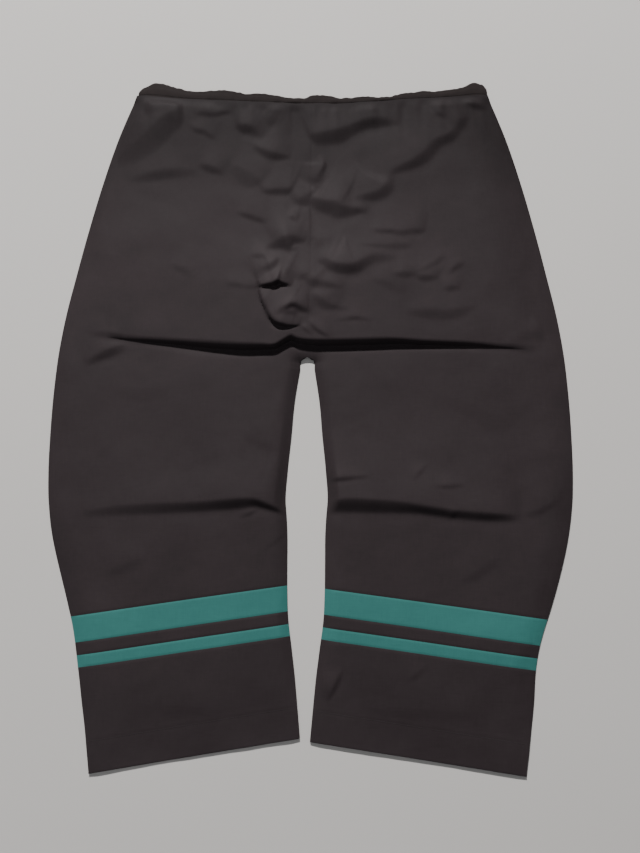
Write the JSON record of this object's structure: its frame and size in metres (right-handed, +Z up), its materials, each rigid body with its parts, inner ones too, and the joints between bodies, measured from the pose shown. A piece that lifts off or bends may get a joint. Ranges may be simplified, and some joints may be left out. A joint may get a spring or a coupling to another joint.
{
  "type": "hockey pants",
  "caption": "Long over-pants of woven cloth for ice hockey, laid flat back side up, with a gathered elastic waist, striped lower legs and turned-up hems.",
  "frame": {"origin": "middle of the pants on the surface they lie on", "axes": "+X towards the wearer's right leg, +Y from the hems to the waist, +Z up out of the back of the pants"},
  "size_m": [0.738, 1, 0.0267],
  "materials": {
    "black_cloth": "matt woven nylon, very dark warm grey",
    "teal_cloth": "matt woven nylon, teal",
    "band_cloth": "matt woven nylon, gathered",
    "elastic": "knitted elastic",
    "seam_cloth": "doubled cloth, overlocked"
  },
  "bodies": {
    "seat": {"waistband": "band_cloth", "waist_elastic": "elastic", "centre_back_seam": "seam_cloth", "centre_front_seam": "seam_cloth", "left_back_seat": "black_cloth", "left_front_seat": "black_cloth", "left_side_seam_hip": "seam_cloth", "right_back_seat": "black_cloth", "right_front_seat": "black_cloth", "right_side_seam_hip": "seam_cloth"},
    "left_thigh": {"left_back_thigh": "black_cloth", "left_front_thigh": "black_cloth", "left_side_seam_thigh": "seam_cloth", "left_inseam_thigh": "seam_cloth"},
    "left_shin": {"left_back_knee": "black_cloth", "left_back_wide_stripe": "teal_cloth", "left_back_spacer": "black_cloth", "left_back_narrow_stripe": "teal_cloth", "left_back_cuff": "black_cloth", "left_back_hem": "seam_cloth", "left_front_knee": "black_cloth", "left_front_wide_stripe": "teal_cloth", "left_front_spacer": "black_cloth", "left_front_narrow_stripe": "teal_cloth", "left_front_cuff": "black_cloth", "left_front_hem": "seam_cloth", "left_side_seam_shin": "seam_cloth", "left_inseam_shin": "seam_cloth"},
    "right_thigh": {"right_back_thigh": "black_cloth", "right_front_thigh": "black_cloth", "right_side_seam_thigh": "seam_cloth", "right_inseam_thigh": "seam_cloth"},
    "right_shin": {"right_back_knee": "black_cloth", "right_back_wide_stripe": "teal_cloth", "right_back_spacer": "black_cloth", "right_back_narrow_stripe": "teal_cloth", "right_back_cuff": "black_cloth", "right_back_hem": "seam_cloth", "right_front_knee": "black_cloth", "right_front_wide_stripe": "teal_cloth", "right_front_spacer": "black_cloth", "right_front_narrow_stripe": "teal_cloth", "right_front_cuff": "black_cloth", "right_front_hem": "seam_cloth", "right_side_seam_shin": "seam_cloth", "right_inseam_shin": "seam_cloth"}
  },
  "joints": [
    {"name": "left_hip_fold", "type": "hinge", "parent": "seat", "child": "left_thigh", "pos_m": [-0.19, 0.06, 0.0153], "axis": [-1, 0, 0], "range_deg": [0, 90]},
    {"name": "left_knee_fold", "type": "hinge", "parent": "left_thigh", "child": "left_shin", "pos_m": [-0.19, -0.136, 0.0153], "axis": [-1, 0, 0], "range_deg": [0, 110]},
    {"name": "right_hip_fold", "type": "hinge", "parent": "seat", "child": "right_thigh", "pos_m": [0.19, 0.06, 0.0153], "axis": [-1, 0, 0], "range_deg": [0, 90]},
    {"name": "right_knee_fold", "type": "hinge", "parent": "right_thigh", "child": "right_shin", "pos_m": [0.19, -0.136, 0.0153], "axis": [-1, 0, 0], "range_deg": [0, 110]}
  ]
}
